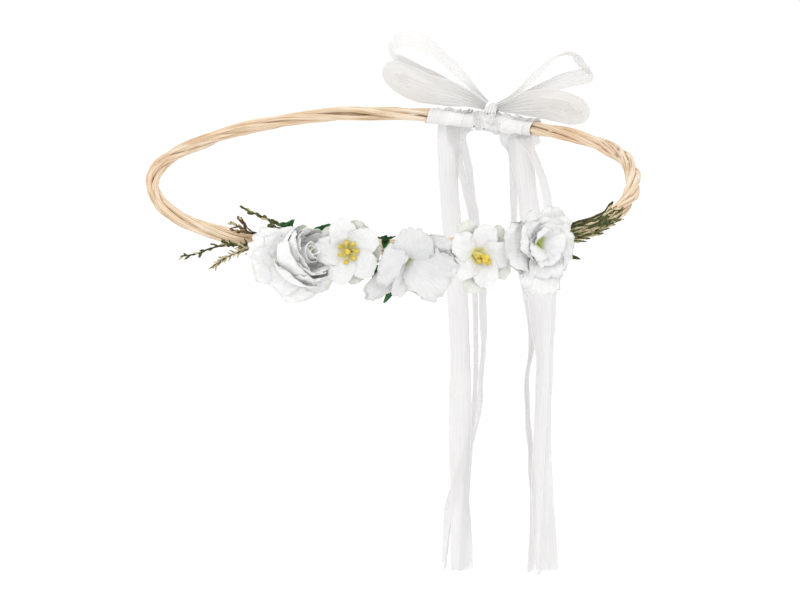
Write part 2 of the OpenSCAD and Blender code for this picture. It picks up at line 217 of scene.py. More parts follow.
class Shell:
    """Collects grids of points into one mesh."""

    def __init__(self):
        self.points = []
        self.faces = []
        self.uvs = []
        self.kinds = []
        self.count = 0

    def grid(self, rows, v, kind, u=None):
        """A tube of faces through the given rings of points, without its ends."""
        n, m = rows.shape[:2]
        u = np.linspace(0, 1, m + 1) if u is None else u
        first = self.count
        self.points.append(rows.reshape(-1, 3))
        self.count += n * m
        for i in range(n - 1):
            for j in range(m):
                k = (j + 1) % m
                a, b = first + i * m + j, first + i * m + k
                self.faces.append((a, b, b + m, a + m))
                left, right, low, high = u[j], u[j + 1], v[i], v[i + 1]
                self.uvs.append(((left, low), (right, low), (right, high), (left, high)))
                self.kinds.append(kind)
        return first

    def ends(self, first, rings, sides, v, kind):
        """Closes the first and the last ring of a tube whose points start at first."""
        for row, order in ((0, -1), (rings - 1, 1)):
            corners = [first + row * sides + s for s in range(sides)][::order]
            self.faces.append(tuple(corners))
            self.uvs.append(tuple((0.5, v[row]) for _ in corners))
            self.kinds.append(kind)

    def tube(self, path, radii, sides, side=UP, kind=0, v=None):
        """A closed rod. radii is one number, one for each ring, or one for each corner."""
        path = np.asarray(path, float)
        n = len(path)
        radii = np.broadcast_to(np.asarray(radii, float).reshape(-1, 1) if np.ndim(radii) < 2
                                else radii, (n, sides))
        across = carried(path, side)
        other = np.cross(tangents(path), across)
        turn = np.arange(sides) * 360 / sides
        rows = path[:, None] + radii[..., None] * (
            cos(turn)[None, :, None] * across[:, None] + sin(turn)[None, :, None] * other[:, None])
        v = lengths(path) if v is None else v
        self.ends(self.grid(rows, v, kind), n, sides, v, kind)

    def sheet(self, rows, thickness, u=None, v=None, kind=0):
        """A thin closed sheet with the given middle surface."""
        n, m = rows.shape[:2]
        normal = unit(np.cross(np.gradient(rows, axis=1), np.gradient(rows, axis=0)))
        half = normal * thickness / 2
        ring = np.concatenate([rows + half, (rows - half)[:, ::-1]], axis=1)
        u = np.linspace(0, 1, m) if u is None else u
        v = np.linspace(0, 1, n) if v is None else v
        u_ring = np.concatenate([u, u[::-1], u[:1]])
        first = self.grid(ring, v, kind, u_ring)
        for row, flip in ((0, True), (n - 1, False)):
            for j in range(m - 1):
                a, d = first + row * 2 * m + j, first + row * 2 * m + 2 * m - 1 - j
                corners = [(a, u[j]), (a + 1, u[j + 1]), (d - 1, u[j + 1]), (d, u[j])]
                corners = corners[::-1] if flip else corners
                self.faces.append(tuple(c[0] for c in corners))
                self.uvs.append(tuple((c[1], v[row]) for c in corners))
                self.kinds.append(kind)

    def bead(self, centre, axis, long, wide, seed, lump, kind, rings, sides):
        """A closed bud or bead about centre, long along axis."""
        axis = unit(axis)
        side = unit(np.cross(axis, [0.31, 0.53, 0.79]))
        other = np.cross(axis, side)
        t = np.linspace(4, 176, rings)
        turn = np.arange(sides) * 360 / sides
        noise = Ripple(seed, 1.6)
        r = wide / 2 * sin(t)[:, None] * np.ones(sides)
        ring = cos(turn)[:, None] * side + sin(turn)[:, None] * other
        rows = (np.asarray(centre, float) - (long / 2 * cos(t))[:, None, None] * axis
                + r[..., None] * ring[None])
        rows = centre + (rows - centre) * (1 + lump * noise(rows / wide * 1.5))[..., None]
        v = np.linspace(0, 1, rings)
        self.ends(self.grid(rows, v, kind), rings, sides, v, kind)

    def piece(self, name, slot, materials, replaces, body=ROOT):
        """Makes the object, in metres, and hands it to the frame."""
        mesh = bpy.data.meshes.new(name)
        mesh.from_pydata((np.vstack(self.points) * MM).tolist(), [], self.faces)
        layer = mesh.uv_layers.new(name="Cut")
        layer.data.foreach_set("uv", np.array([c for f in self.uvs for c in f], float).ravel())
        mesh.polygons.foreach_set("material_index", self.kinds)
        mesh.polygons.foreach_set("use_smooth", [True] * len(self.faces))
        for material in materials:
            mesh.materials.append(material)
        mesh.set_sharp_from_angle(angle=math.radians(50))
        mesh.validate()
        piece = bpy.data.objects.new(name, mesh)
        bpy.context.scene.collection.objects.link(piece)
        if replaces:
            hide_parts(*replaces)
        if body:
            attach(piece, body)
        return piece


# ---- Material nodes ----

class Shader:
    """A material with a Principled shader, and short calls for its nodes."""

    def __init__(self, name, **sockets):
        self.material = bpy.data.materials.new(name)
        self.material.use_nodes = True
        self.tree = self.material.node_tree
        self.main = self.tree.nodes["Principled BSDF"]
        for socket, value in sockets.items():
            self.main.inputs[socket.replace("_", " ")].default_value = value

    def node(self, kind, inputs=None, **settings):
        node = self.tree.nodes.new("ShaderNode" + kind)
        for key, value in settings.items():
            setattr(node, key, value)
        for key, value in (inputs or {}).items():
            self.feed(node.inputs[key], value)
        return node

    def feed(self, socket, value):
        """Joins another node's output to a socket, or sets the socket's own value."""
        if hasattr(value, "links"):
            self.tree.links.new(value, socket)
        else:
            socket.default_value = value

    def maths(self, operation, a, b=0.5, clamp=False):
        return self.node("Math", {0: a, 1: b}, operation=operation, use_clamp=clamp).outputs[0]

    def times(self, a, b):
        return self.maths("MULTIPLY", a, b)

    def cut(self):
        """The mesh's own UV: x across, y along."""
        split = self.node("SeparateXYZ", {0: self.node("TexCoord").outputs["UV"]})
        return split.outputs[0], split.outputs[1]

    def place(self):
        return self.node("TexCoord").outputs["Object"]

    def vector(self, x, y, z=0.0):
        return self.node("CombineXYZ", {0: x, 1: y, 2: z}).outputs[0]

    def noise(self, vector, scale, detail=3.0, rough=0.5):
        inputs = {"Vector": vector, "Scale": scale, "Detail": detail, "Roughness": rough}
        return self.node("TexNoise", inputs).outputs[0]

    def fibres(self, u, v, across, along, detail, rough=0.5, z=0.0):
        """Noise drawn out along a piece's own cut: across and along are its two scales."""
        stretched = self.vector(self.times(u, across), self.times(v, along), z)
        return self.noise(stretched, 1.0, detail, rough)

    def ramp(self, value, *stops):
        node = self.node("ValToRGB", {0: value})
        elements = node.color_ramp.elements
        while len(elements) < len(stops):
            elements.new(0.5)
        for element, (at, colour) in zip(elements, stops):
            element.position = at
            element.color = (*colour, 1.0)
        return node.outputs[0]

    def share(self, value, low, high, to_low=0.0, to_high=1.0):
        inputs = {0: value, 1: low, 2: high, 3: to_low, 4: to_high}
        return self.node("MapRange", inputs, clamp=True, interpolation_type="SMOOTHSTEP").outputs[0]

    def mix(self, factor, a, b, blend="MIX"):
        node = self.node("Mix", data_type="RGBA", blend_type=blend)
        for socket, value in ((node.inputs[0], factor), (node.inputs[6], a), (node.inputs[7], b)):
            self.feed(socket, (*value, 1.0) if isinstance(value, tuple) else value)
        return node.outputs[2]

    def bump(self, height, distance, strength):
        node = self.node("Bump", {"Height": height, "Distance": distance, "Strength": strength})
        self.to("Normal", node.outputs[0])

    def to(self, socket, value):
        self.tree.links.new(value, self.main.inputs[socket])


def srgb(r, g, b):
    """A colour given as seen on screen, 0 to 255, as the linear one that shaders use."""
    values = (c / 255 for c in (r, g, b))
    return tuple(c / 12.92 if c <= 0.04045 else ((c + 0.055) / 1.055) ** 2.4 for c in values)


# ---- Materials ----

def cane_material():
    """Peeled cane: long fibres, paler and browner streaks, dark hairline splits."""
    s = Shader("peeled_cane", Roughness=0.62, Specular_IOR_Level=0.35)
    u, v = s.cut()
    fibre = s.fibres(u, v, 16.0, 0.05, 5.0, 0.62)
    streak = s.fibres(u, v, 3.0, 0.035, 2.0, z=4.0)
    patch = s.noise(s.place(), 26.0, 2.0)
    base = s.ramp(fibre, (0.26, srgb(142, 104, 62)), (0.42, srgb(208, 182, 146)),
                  (0.56, srgb(232, 214, 190)), (0.80, srgb(248, 240, 230)))
    warm = s.mix(s.share(patch, 0.40, 0.66, 0.0, 0.5), base, srgb(250, 226, 210), "MULTIPLY")
    split = s.share(streak, 0.27, 0.36, 0.75, 0.0)
    s.to("Base Color", s.mix(split, warm, srgb(120, 82, 46)))
    height = s.maths("SUBTRACT", fibre, s.times(split, 0.8))
    s.bump(height, 0.00035, 0.7)
    s.to("Roughness", s.share(fibre, 0.3, 0.8, 0.72, 0.5))
    return s.material


def ribbon_material(name, clear, tone):
    """Sheer satin ribbon: fine crosswise ribs, closer weave and a bright cord at its edges."""
    s = Shader(name, Roughness=0.4, Sheen_Weight=0.3, Sheen_Roughness=0.4, Specular_IOR_Level=0.4)
    u, v = s.cut()
    edge = s.maths("ABSOLUTE", s.maths("SUBTRACT", u, 0.5))
    hem = s.share(edge, 0.45, 0.48)
    ribs = s.maths("SINE", s.times(v, 18.0))
    slub = s.fibres(u, v, 24.0, 0.05, 2.0)
    cloud = s.fibres(u, v, 1.2, 0.03, 1.0)
    shade = s.ramp(slub, (0.3, tuple(0.97 * c for c in tone)), (0.7, tone))
    s.to("Base Color", s.mix(s.times(hem, 0.35), shade, (0.95, 0.95, 0.95)))
    weave = s.maths("ADD", s.share(slub, 0.3, 0.7, -0.03, 0.03), s.share(cloud, 0.3, 0.7, -0.07, 0.07))
    solid = s.maths("ADD", s.maths("ADD", weave, 1.0 - clear), s.times(hem, 0.2), clamp=True)
    s.to("Alpha", solid)
    s.bump(s.maths("ADD", s.times(ribs, 0.25), slub), 0.00005, 0.35)
    return s.material


def paper(name, white, foot, foot_end, rim, rim_share):
    """Soft mulberry paper: long fibres, crumples, a tinted foot and a darker rim."""
    s = Shader(name, Roughness=0.85, Specular_IOR_Level=0.2, Sheen_Weight=0.15,
               Subsurface_Weight=0.2, Subsurface_Scale=0.001,
               Subsurface_Radius=(1.0, 0.95, 0.85))
    u, v = s.cut()
    fibres = s.fibres(u, v, 22.0, 4.0, 5.0, 0.65)
    fleck = s.noise(s.place(), 900.0, 3.0)
    crumple = s.noise(s.place(), 260.0, 4.0, 0.6)
    foot, rim = srgb(*foot), srgb(*rim)
    grey = tuple(0.9 * c for c in white)
    body = s.ramp(fibres, (0.3, grey), (0.62, white))
    body = s.mix(s.share(fleck, 0.62, 0.75, 0.0, 0.25), body, tuple(0.95 * c for c in grey))
    depth = s.maths("ADD", v, s.share(fibres, 0.2, 0.8, -0.06, 0.06))
    tinted = s.mix(s.share(depth, foot_end * 0.35, foot_end, 1.0, 0.0), body, foot)
    side = s.times(s.maths("ABSOLUTE", s.maths("SUBTRACT", u, 0.5)), 2.0)
    ragged = s.share(crumple, 0.3, 0.7, -0.05, 0.05)
    out = s.maths("ADD", s.maths("MAXIMUM", side, v), ragged)
    # The rim colour is mixed in towards the petal's edges.
    rim_tint = s.share(out, 0.93, 1.0, 0.0, rim_share)
    s.to("Base Color", s.mix(rim_tint, tinted, rim))
    s.bump(s.maths("ADD", crumple, s.times(fibres, 0.5)), 0.0005, 0.55)
    return s.material


def leaf_material():
    """A dyed paper leaf: a pale midrib, side veins and blotchy greens."""
    s = Shader("dyed_leaf", Roughness=0.55, Specular_IOR_Level=0.4)
    u, v = s.cut()
    side = s.maths("ABSOLUTE", s.maths("SUBTRACT", u, 0.5))
    slant = s.maths("ADD", v, s.times(side, -0.5))
    veins = s.maths("ABSOLUTE", s.maths("SINE", s.times(slant, 30.0)))
    blotch = s.noise(s.place(), 420.0, 4.0, 0.6)
    green = s.ramp(blotch, (0.3, srgb(6, 46, 14)), (0.55, srgb(20, 84, 34)), (0.8, srgb(52, 132, 62)))
    rib = s.maths("MAXIMUM", s.share(side, 0.03, 0.07, 0.7, 0.0), s.share(veins, 0.08, 0.2, 0.35, 0.0))
    s.to("Base Color", s.mix(rib, green, srgb(92, 150, 84)))
    s.bump(s.maths("SUBTRACT", blotch, rib), 0.0004, 0.7)
    return s.material


def speckled(name, dark, middle, light, size):
    """Dried stalks, buds and threads: one three-tone mottle, finer or coarser."""
    dark, middle, light = srgb(*dark), srgb(*middle), srgb(*light)
    s = Shader(name, Roughness=0.8, Specular_IOR_Level=0.25)
    mottle = s.noise(s.place(), size, 5.0, 0.65)
    grain = s.noise(s.place(), size * 4, 2.0)
    colour = s.ramp(mottle, (0.3, dark), (0.5, middle), (0.7, light))
    s.to("Base Color", s.mix(s.share(grain, 0.35, 0.65, 0.0, 0.4), colour, dark, "MULTIPLY"))
    s.bump(s.maths("ADD", mottle, s.times(grain, 0.4)), 0.0004, 0.8)
    return s.material


def tape_material():
    """Green florist's tape: spiral overlaps along the wire and a crepe of fine creases."""
    s = Shader("florists_tape", Roughness=0.7, Specular_IOR_Level=0.3)
    u, v = s.cut()
    lap = s.maths("FRACT", s.maths("ADD", s.times(v, 0.55), u))
    crepe = s.fibres(u, v, 30.0, 1.2, 4.0)
    tone = s.ramp(crepe, (0.3, srgb(30, 60, 28)), (0.7, srgb(74, 116, 62)))
    s.to("Base Color", s.mix(s.share(lap, 0.0, 0.18, 0.55, 0.0), tone, srgb(16, 36, 16)))
    s.bump(s.maths("ADD", s.times(crepe, 0.4), lap), 0.00025, 0.8)
    return s.material


def floor_material():
    s = Shader("studio_floor", Roughness=0.9, Specular_IOR_Level=0.1)
    cloud = s.noise(s.place(), 3.0, 2.0)
    s.to("Base Color", s.ramp(cloud, (0.2, (0.93, 0.93, 0.93)), (0.8, (0.96, 0.96, 0.96))))
    return s.material


WHITE = (0.72, 0.72, 0.72)
BRIGHT = (0.82, 0.82, 0.815)
# The rose's white is set lighter than the other flowers' paper: painted light that lifts the shade in
# the rose's deep heart.
ROSE_WHITE_PAINTED_LIGHT = (0.88, 0.88, 0.875)
CANE = cane_material()
TAIL_RIBBON = ribbon_material("sheer_ribbon", 0.43, (0.80, 0.79, 0.79))
BOW_RIBBON = ribbon_material("bow_ribbon", 0.48, (0.825, 0.815, 0.795))
WOUND_RIBBON = ribbon_material("wound_ribbon", 0.1, (0.85, 0.84, 0.835))
# The knot's ribbon is the sheer ribbon painted lighter: painted light that lifts the shade in the
# knot's pleats.
KNOT_RIBBON_PAINTED_LIGHT = ribbon_material("knot_ribbon_painted_light", 0.06, (0.93, 0.92, 0.915))
ROSE_PAPER = paper("rose_paper_painted_light", ROSE_WHITE_PAINTED_LIGHT, (206, 208, 190), 0.3, (196, 196, 178), 0.4)
BLOSSOM_PAPER = paper("blossom_paper", BRIGHT, (232, 224, 150), 0.3, (222, 222, 214), 0.35)
# The back ring's paper is a darker, greener copy of the blossom paper: painted shade for petals that
# lie behind and under the front ring.
BACK_PAPER_PAINTED_SHADE = paper("back_paper_painted_shade", (0.74, 0.75, 0.70), (180, 190, 140), 0.5, (196, 198, 176), 0.4)
LILY_PAPER = paper("lily_paper", WHITE, (176, 186, 132), 0.16, (190, 190, 178), 0.45)
PEONY_PAPER = paper("peony_paper", BRIGHT, (190, 200, 120), 0.35, (206, 206, 196), 0.4)
LEAF = leaf_material()
TAPE = tape_material()
POLLEN = speckled("pollen", (196, 158, 40), (232, 212, 92), (248, 240, 160), 900.0)
THREAD = speckled("thread", (214, 200, 120), (236, 228, 170), (246, 242, 210), 700.0)
DARK_STALK = speckled("dark_stalk", (34, 34, 18), (66, 62, 34), (104, 98, 56), 800.0)
DRY_GREEN = speckled("dry_green", (38, 48, 20), (84, 92, 48), (150, 150, 98), 700.0)
DRY_BROWN = speckled("dry_brown", (58, 36, 18), (112, 80, 50), (176, 150, 112), 700.0)
DRY_GREY = speckled("dry_grey", (84, 80, 52), (136, 128, 94), (196, 188, 156), 700.0)
CREAM_TIP = speckled("cream_tip", (158, 140, 96), (210, 196, 154), (240, 232, 206), 900.0)


# ---- Hoop ----

def wound(steps, cols, at):
    """A wound ribbon's middle surface and the distance along it. at gives the point for a
    share of the length, a place across the width (-0.5 to 0.5) and a step number."""
    t = np.linspace(0, 1, steps)
    lay = np.linspace(-0.5, 0.5, cols)
    rows = np.array([[at(t[i], lay[j], i) for j in range(cols)] for i in range(steps)])
    return rows, lengths(rows[:, cols // 2])


def ribbon_piece(name, rows, length, material, node, body=ROOT):
    """A ribbon as a soft sheet, from its middle surface and the distance along it."""
    shell = Shell()
    shell.sheet(rows, RIBBON_T, v=length)
    piece = shell.piece(name, "ribbon", [material], [node], body=body)
    return piece


def natural_cane(number):
    """One cane: it wanders a little off its place in the twist and swells and thins."""
    rings, sides = 520, 24
    a = np.linspace(KNOT_AT + 1.2, KNOT_AT + 358.8, rings)
    wander, swell = Ripple(10 + number, 34), Ripple(20 + number, 9)
    millimetres_per_degree = 1.57
    spots = np.stack([a * millimetres_per_degree, np.zeros(rings), np.zeros(rings)], axis=1)
    phase = 90 * number - CANE_TWISTS * a + 9 * wander(spots)
    r = CANE_OFFSET * (1 + 0.1 * wander(spots + 50))
    path = np.array([round_hoop(*row) for row in zip(a, r, phase)])
    girth = CANE_R * (1.0 + 0.06 * swell(spots))
    corner = np.arange(sides) * 2 * math.pi / sides
    round_it = np.stack(np.broadcast_arrays(
        a[:, None] * 0.5, 1.6 * np.cos(corner), 1.6 * np.sin(corner)), axis=2)
    radii = girth[:, None] * (1 + 0.05 * Ripple(30 + number, 5)(round_it))
    drift = 0.5 * wander(spots + 90)[:, None]
    groove_apart, groove_depth, groove_width = 2.2, 0.09, 0.2
    for groove in range(3):
        away = (corner[None, :] - drift - groove * groove_apart + math.pi) % (2 * math.pi) - math.pi
        radii = radii * (1 - groove_depth * np.exp(-(away / groove_width) ** 2))
    shell = Shell()
    shell.tube(path, radii, sides)
    shell.piece(f"natural_cane_{number + 1}", "rattan", [CANE], [f"cane_{number + 1}"])


def bundle_hull(a, turn):
    """How far the outside of the four twisted canes is from the hoop's centreline."""
    off = (turn + CANE_TWISTS * a + 45) % 90 - 45
    bulge = CANE_OFFSET * cos(off)
    sink = CANE_R ** 2 - (CANE_OFFSET * sin(off)) ** 2
    on_cane = bulge + np.sqrt(np.maximum(sink, 0))
    bridge = (CANE_OFFSET * cos(45) + CANE_R) / cos(45 - abs(off))
    return np.minimum(on_cane, bridge)


def binding(name, node, span, turns, start):
    """A ribbon wound round the hoop, each turn lapping over the last."""
    wide = math.degrees(RIBBON_W / HOOP_R)
    crease = Ripple(len(name), 7)

    def at(t, lay, i):
        turn = start + 360 * turns * t + lay * 40
        lift = 0.16 + 0.26 * t + 0.08 * (0.5 - lay)
        lift += 0.11 * crease([turn * 0.09, lay * 11, i * 0.1])
        a = span[0] + wide * 0.45 + (span[1] - span[0] - wide * 0.9) * t + lay * wide * 0.97
        return round_hoop(a, CANE_OFFSET + CANE_R + lift, turn)

    rows, length = wound(int(turns * 40), 15, at)
    ribbon_piece(name, rows, length, WOUND_RIBBON, node)


# The knot's turns: angles they run between, how many, where they start, how far they slant
KNOT_TURNS = ((61.0, 68.3, 2.6, 200, 1.6), (62.0, 66.0, 1.8, 20, -1.9), (63.2, 65.0, 1.2, 130, 1.2))


def knot():
    """The knot: the bow's ribbons gathered to pleated cords and tied round the hoop."""
    for number, (low, high, turns, start, slant) in enumerate(KNOT_TURNS):
        uneven = Ripple(60 + number, 2.2)

        def at(t, lay, i):
            turn = start + 360 * turns * t
            a0 = low + (high - low) * (0.5 - 0.5 * math.cos(math.pi * t))
            a0 += slant * math.sin(math.radians(turn)) * (1 - 0.3 * t)
            round_off = math.sqrt(max(1 - (2 * lay) ** 2, 0))
            pleat = 0.36 * math.sin(2 * math.pi * (7 * lay + 0.3 * math.sin(t * 9 + number)))
            lift = 0.3 + 0.35 * number + 0.6 * round_off + pleat
            lift += 0.16 * uneven([t * 26, lay * 4, number])
            a = a0 + lay * 2.3 + 0.15 * uneven([t * 20, 0, number])
            return round_hoop(a, bundle_hull(a, turn) * 0.5 + 1.45 + lift, turn)

        rows, length = wound(int(turns * 44), 57, at)
        ribbon_piece(f"knot_turn_{number + 1}", rows, length, KNOT_RIBBON_PAINTED_LIGHT, "knot_wrap")


# ---- Bow ----

BOW_AT = hoop_point(KNOT_AT) + BOW_RISE * UP
BOW_X, BOW_Y = radial(-15), radial(75)

# Each loop's line: sideways, back and up from the bow's knot, the turn of its width about
# that line (0 runs front to back, 90 faces the front), and the share of the width shown
BOW_LOOPS = {
    "upper_left_loop": [
        (-2.0, 0.6, 1.2, -8, 0.26), (-7.0, 0.9, 5.8, -8, 0.45), (-12.6, 1.4, 10.8, -8, 0.8),
        (-21.5, 1.8, 18.6, -11, 1.0), (-27.5, 1.8, 23.0, -22, 1.0), (-33.0, 1.4, 25.0, -32, 1.0),
        (-38.4, 0.8, 24.4, -34, 1.0), (-41.6, 0.2, 21.4, -31, 1.0), (-40.6, 0.0, 17.8, -34, 1.0),
        (-36.6, 0.2, 16.0, -40, 1.0), (-27.0, 0.8, 11.4, -43, 1.0), (-17.0, 0.9, 7.4, -44, 0.85),
        (-8.0, 0.6, 3.8, -44, 0.45), (-2.4, 0.4, 0.9, -44, 0.28)],
    "lower_left_loop": [
        (-2.4, -0.8, 0.6, 70, 0.3), (-8.0, -1.8, 3.4, 66, 0.6), (-17.0, -3.2, 6.6, 62, 0.95),
        (-26.0, -3.8, 8.8, 62, 1.0), (-34.0, -3.2, 11.2, 70, 1.0), (-39.4, -1.2, 11.8, 82, 1.0),
        (-41.0, 1.6, 9.8, 92, 1.0), (-38.0, 4.2, 5.6, 98, 1.0), (-31.0, 5.0, 2.6, 104, 1.0),
        (-21.0, 3.8, 1.8, 106, 0.9), (-10.5, 1.8, 0.8, 104, 0.5), (-3.0, 0.6, -0.7, 100, 0.3)],
    "upper_right_loop": [
        (2.0, 0.6, 0.6, 14, 0.26), (7.0, 0.9, 3.6, 14, 0.45), (12.6, 1.4, 8.6, 14, 0.85),
        (18.0, 1.8, 14.4, 14, 1.0), (23.0, 1.8, 19.6, 8, 1.0), (27.8, 1.4, 22.4, -10, 1.0),
        (31.8, 0.8, 22.8, -26, 1.0), (34.8, 0.4, 20.8, -34, 1.0), (37.2, 0.0, 18.0, -30, 1.0),
        (39.2, 0.0, 15.9, -26, 1.0), (38.0, 0.2, 14.8, -26, 1.0), (27.0, 0.8, 11.4, -24, 1.0),
        (17.0, 0.9, 6.8, -20, 0.85), (8.0, 0.6, 2.4, -16, 0.45), (2.4, 0.4, 0.3, -6, 0.28)],
    "lower_right_loop": [
        (2.4, -0.8, -0.2, -76, 0.3), (8.0, -1.8, 1.4, -72, 0.6), (15.0, -3.0, 3.6, -68, 0.95),
        (22.5, -3.8, 5.0, -66, 1.0), (28.5, -3.4, 4.8, -70, 1.0), (33.4, -1.2, 2.4, -80, 1.0),
        (34.4, 2.0, -0.6, -90, 1.0), (31.0, 4.6, -2.2, -98, 1.0), (24.0, 5.0, -1.4, -102, 1.0),
        (16.0, 3.8, -0.2, -102, 0.9), (8.6, 2.0, -0.2, -98, 0.55), (3.0, 0.6, -0.7, -96, 0.3)],
}


def ribbon_rows(path, across, chord, pleats, seed, buckle):
    """A ribbon's middle surface from its line, the way of its width, and the chord that it
    spans there. What the chord leaves over goes into that many pleats, or into one lengthwise
    arc where pleats is 0."""
    cols = 41
    lay = np.linspace(-0.5, 0.5, cols)
    facing = unit(np.cross(tangents(path), across))
    soft = Ripple(seed, 13)
    run = lengths(path)
    rows = np.zeros((len(path), cols, 3))
    for i in range(len(path)):
        w = chord[i]
        spare = math.sqrt(max(RIBBON_W ** 2 - w ** 2, 0))
        if pleats:
            fold = spare / (4 * pleats) * 0.75 * np.sin(2 * math.pi * pleats * lay + 0.7)
        else:
            fold = spare * 0.55 * (0.25 - lay ** 2) * 4
        where = np.stack([np.full(cols, run[i]), lay * 9, np.full(cols, seed * 7.0)], axis=1)
        depth = fold + buckle * soft(where) * min(1, w / RIBBON_W)
        rows[i] = path[i] + (w * lay)[:, None] * across[i] + depth[:, None] * facing[i]
    return rows, run


def bow_loop(name, number):
    """One loop of the bow, gathered at both its ends and full between them."""
    table = spline(BOW_LOOPS[name], 96)
    line = table[:, :3]
    path = BOW_AT + line[:, :1] * BOW_X + line[:, 1:2] * BOW_Y + line[:, 2:] * UP
    run = tangents(path)
    flat = unit(BOW_Y - (run @ BOW_Y)[:, None] * run)
    face = np.cross(run, flat)
    turn = table[:, 3:4]
    across = cos(turn) * flat + sin(turn) * face
    rows, length = ribbon_rows(path, across, RIBBON_W * np.clip(table[:, 4], 0.24, 0.995),
                               5, 40 + number, 0.22)
    ribbon_piece(f"bow_{name}", rows, length, BOW_RIBBON, name)


def bow_cross_turn():
    """The short stretch of ribbon that is pulled tight over the bow's middle."""
    uneven = Ripple(71, 2.5)

    def at(t, lay, i):
        turn = -40 + 400 * t
        pleat = 0.36 * math.sin(2 * math.pi * 5 * lay + 2.6 * math.sin(5 * t))
        out = 1.5 + 0.3 * t + 0.5 * math.cos(math.pi * lay) + pleat
        out += 0.3 * uneven([t * 20, lay * 4, 0])
        sideways = (4.7 + 1.3 * sin(turn + 200)) * lay + 1.1 * sin(turn + 30)
        return (BOW_AT + sideways * BOW_X + out * cos(turn) * BOW_Y
                + (1.1 * out * sin(turn) - 1.2) * UP)

    rows, length = wound(60, 49, at)
    ribbon_piece("bow_cross_turn", rows, length, KNOT_RIBBON_PAINTED_LIGHT, "bow_knot")


# ---- Tails ----

# Each tail: the angle at which it leaves the hoop, how many layers it lies on there, and
# then its line: x, y, z, the way its face is turned, and the chord it spans
TAILS = {
    "left_wide_tail": (75.6, 0, [
        (22.4, 88.2, -11, 6, 9.7), (22.2, 86.8, -26, 32, 9.6), (23.4, 86.4, -42, 34, 9.5),
        (26.2, 86.7, -76, 30, 9.6), (27.5, 86.8, -104, 28, 9.6), (27.7, 87.0, -136, 8, 9.8),
        (27.9, 87.0, -163, 34, 9.5), (28.6, 87.0, -182, 22, 9.7), (29.1, 87.0, -200, 8, 9.9)]),
    "left_inner_tail": (73.4, 1, [
        (24.8, 91.4, -11, 66, 9.5), (26.6, 92.6, -22, 76, 9.5), (29.3, 93.0, -34, 76, 9.5),
        (31.4, 93.2, -47, 80, 9.4), (33.0, 93.3, -80, 84, 9.4), (33.5, 93.4, -106, 86, 9.4),
        (32.9, 93.4, -128, 86, 9.4), (31.4, 94.0, -150, 82, 9.5), (30.2, 94.2, -176, 76, 9.6),
        (29.8, 94.2, -202.4, 70, 9.7)]),
    "left_outer_tail": (72.6, 2, [
        (27.4, 95.2, -12, 68, 9.5), (30.4, 99.0, -26, 78, 9.4), (33.0, 101.6, -44, 84, 9.4),
        (35.4, 102.6, -61, 80, 9.4), (36.9, 103.0, -80, 76, 9.4), (37.2, 103.2, -100, 78, 9.4),
        (36.4, 103.4, -118, 90, 9.5), (35.0, 103.6, -136, 98, 9.5), (28.2, 103.9, -163, 104, 9.4),
        (23.4, 104.0, -181, 106, 9.4), (21.0, 104.0, -206, 100, 9.5)]),
    "right_wide_tail": (56.6, 0, [
        (50.2, 79.4, -11, -18, 9.8), (52.4, 78.8, -21, -26, 9.6), (54.6, 78.8, -35, -36, 9.5),
        (59.6, 79.4, -74, -12, 9.8), (61.6, 80.0, -98, 44, 9.5), (61.8, 80.4, -122, 44, 9.5),
        (61.9, 80.7, -144, 30, 9.6), (62.6, 81.1, -166, 8, 9.8), (65.2, 81.5, -197.5, -12, 9.8)]),
    "right_inner_tail": (59.4, 1, [
        (47.2, 84.4, -11, 68, 9.4), (47.8, 85.4, -24, 76, 9.4), (48.2, 85.9, -36, 76, 9.4),
        (49.4, 86.2, -52, 74, 9.4), (55.8, 86.6, -78, 62, 9.4), (56.8, 86.9, -95, 76, 9.4),
        (54.6, 87.2, -112, 88, 9.4), (55.2, 87.4, -128, 80, 9.4), (56.8, 87.6, -148, 82, 9.4),
        (58.6, 87.8, -170, 78, 9.5), (58.6, 88.0, -200, 74, 9.6)]),
    "right_outer_tail": (54.6, 2, [
        (54.0, 75.6, -10, 68, 9.4), (56.8, 72.6, -16, 80, 9.4), (60.6, 71.2, -28, 72, 9.4),
        (62.4, 70.4, -42, 74, 9.4), (64.2, 69.8, -64, 80, 9.4), (63.4, 69.6, -98, 84, 9.4),
        (62.4, 69.6, -135, 84, 9.4), (61.4, 69.7, -165, 80, 9.4), (61.0, 69.8, -192.8, 74, 9.6)]),
}


def tail(name, number):
    """A hanging ribbon. It comes over the back of the hoop, which its first stretch stays with."""
    angle, layers, table = TAILS[name]
    over = [(*round_hoop(angle, TAIL_AT + 0.3 * layers + low, turn), angle - 90, 9.8)
            for turn, low in ((118, 0), (72, 0), (26, 0), (-14, 0), (-56, 1.2))]
    line = spline(over + table, 150)
    path = line[:, :3]
    turn = line[:, 3] + 4 * Ripple(80 + number, 60)(path) * np.linspace(0, 1, 150)
    level = np.stack([cos(turn), sin(turn), np.zeros(len(turn))], axis=1)
    run = tangents(path)
    across = unit(level - (level * run).sum(1, keepdims=True) * run)
    rows, length = ribbon_rows(path, across, line[:, 4], 0, 90 + number, 0.16)
    piece = ribbon_piece(f"ribbon_{name}", rows, length, TAIL_RIBBON, name,
                         body=None)
    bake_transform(piece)


# ---- Petals and flowers ----

